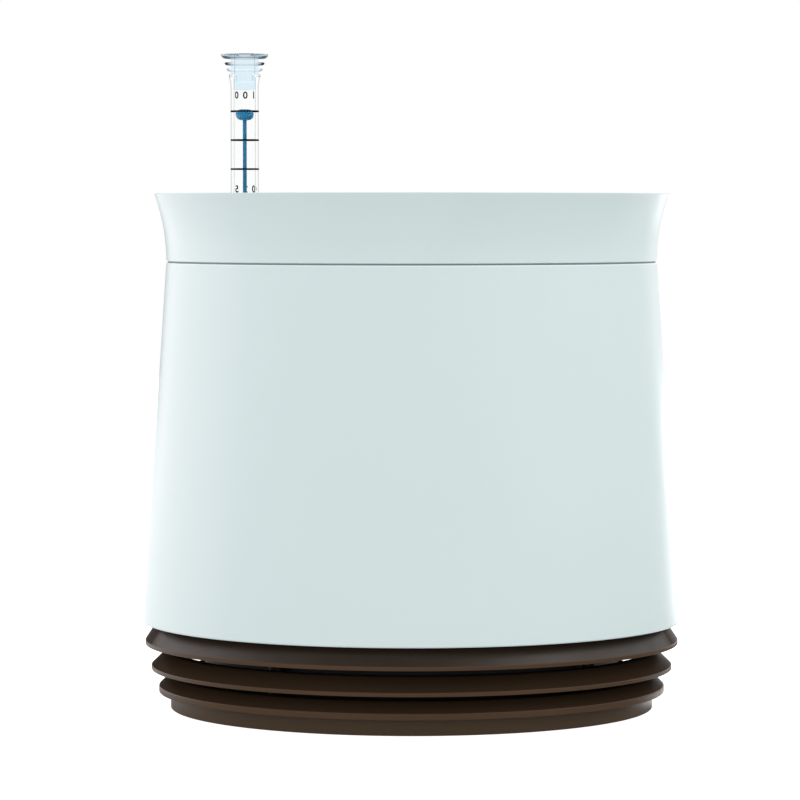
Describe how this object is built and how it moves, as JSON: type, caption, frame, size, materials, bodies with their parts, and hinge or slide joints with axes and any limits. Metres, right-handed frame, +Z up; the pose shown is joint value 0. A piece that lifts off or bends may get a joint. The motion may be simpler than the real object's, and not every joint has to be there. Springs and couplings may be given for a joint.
{
  "type": "self-watering plant pot",
  "caption": "Tapered self-watering plant pot with a flared collar, a louvred base that draws in air, a lift-out slotted inner pot and a clear float gauge for its water level.",
  "frame": {"origin": "centre of the foot ring on the ground", "axes": "+Z up along the pot's axis, -Y towards the front, gauge on the -X side"},
  "size_m": [0.2668, 0.2668, 0.3252],
  "materials": {
    "shell_mint": "satin moulded, pale mint",
    "liner_pale": "matt moulded, pale grey mint",
    "tank_slate": "matt moulded, dark slate",
    "base_brown": "satin moulded, dark brown",
    "screw_steel": "zinc plated",
    "clear_tube": "clear polished",
    "stopper_blue": "translucent pale blue",
    "pointer_blue": "satin blue",
    "float_white": "matt foam white"
  },
  "bodies": {
    "base": {"base_tray": "base_brown", "lower_louvre": "base_brown", "middle_louvre": "base_brown", "upper_louvre": "base_brown", "middle_brackets": "base_brown", "upper_brackets": "base_brown", "lower_spacers": "base_brown", "upper_spacers": "base_brown", "base_screws": "screw_steel", "shell_screws": "screw_steel", "shell_ring": "base_brown", "outer_shell": "shell_mint"},
    "pot": {"rim_collar": "shell_mint", "hanger_ring": "shell_mint", "inner_pot": "liner_pale", "pot_flange": "liner_pale", "separator_ledge": "liner_pale", "water_tank": "tank_slate"},
    "insert": {"separator": "liner_pale", "wick_basket": "base_brown", "gauge_guide": "liner_pale"},
    "gauge": {"gauge_tube": "clear_tube", "gauge_foot": "stopper_blue"},
    "stopper": {"gauge_cap": "stopper_blue"},
    "pointer": {"gauge_float": "float_white", "gauge_stem": "pointer_blue", "indicator_head": "pointer_blue"}
  },
  "joints": [
    {"name": "pot_lift", "type": "slide", "parent": "base", "child": "pot", "axis": [0, 0, 1], "range_m": [0, 0.225]},
    {"name": "insert_lift", "type": "slide", "parent": "pot", "child": "insert", "axis": [0, 0, 1], "range_m": [0, 0.25]},
    {"name": "gauge_lift", "type": "slide", "parent": "insert", "child": "gauge", "axis": [0, 0, 1], "range_m": [0, 0.25]},
    {"name": "stopper_pull", "type": "slide", "parent": "gauge", "child": "stopper", "axis": [0, 0, 1], "range_m": [0, 0.03]},
    {"name": "float_rise", "type": "slide", "parent": "gauge", "child": "pointer", "axis": [0, 0, 1], "range_m": [-0.046, 0.009]}
  ]
}
